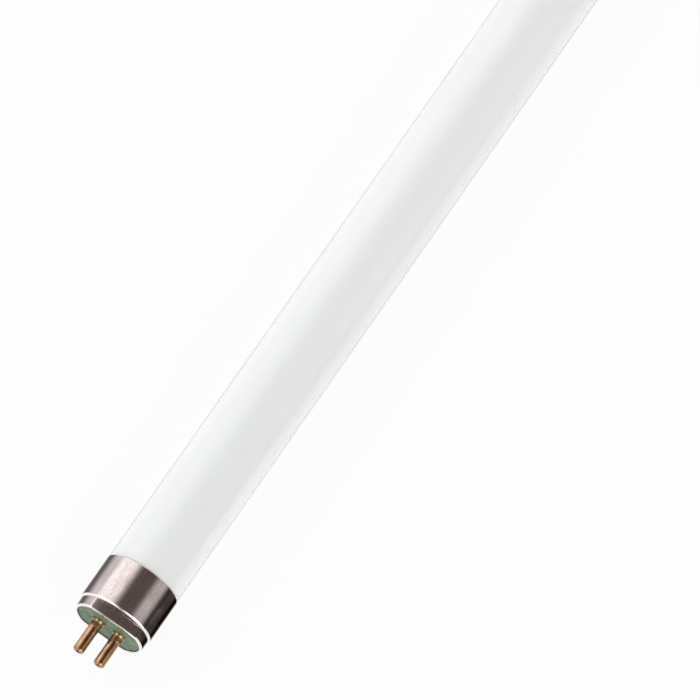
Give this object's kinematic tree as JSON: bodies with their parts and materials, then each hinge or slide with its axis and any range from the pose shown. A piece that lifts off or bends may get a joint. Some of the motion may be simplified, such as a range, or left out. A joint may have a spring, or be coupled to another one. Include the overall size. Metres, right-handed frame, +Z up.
{
  "type": "fluorescent tube",
  "caption": "Slim straight fluorescent lamp: a white coated glass tube closed at both ends by a drawn metal cap with a green insulating disc and two hollow contact pins.",
  "frame": {"origin": "centre of the lamp on the tube's axis, halfway between the tips of the pins", "axes": "+X along the tube, +Y along the line that joins a cap's two pins, +Z up, square to the flattened sides of the cap noses"},
  "size_m": [0.5632, 0.016, 0.016],
  "materials": {
    "coated_glass": "clear polished glass over a matt white powder coating, so it looks solid white with a gloss",
    "cap_metal": "bright drawn sheet",
    "insulating_disc": "dull green fibre board",
    "cement": "baked cement, dull",
    "pin_brass": "drawn brass, a little browned",
    "lead_wire": "drawn nickel-plated wire"
  },
  "bodies": {
    "root": {"glass_tube": "coated_glass", "left_cap_shell": "cap_metal", "right_cap_shell": "cap_metal", "left_insulator": "insulating_disc", "right_insulator": "insulating_disc", "left_cement_ring": "cement", "right_cement_ring": "cement", "left_front_pin": "pin_brass", "left_rear_pin": "pin_brass", "right_front_pin": "pin_brass", "right_rear_pin": "pin_brass", "left_front_lead": "lead_wire", "left_rear_lead": "lead_wire", "right_front_lead": "lead_wire", "right_rear_lead": "lead_wire"}
  },
  "joints": []
}
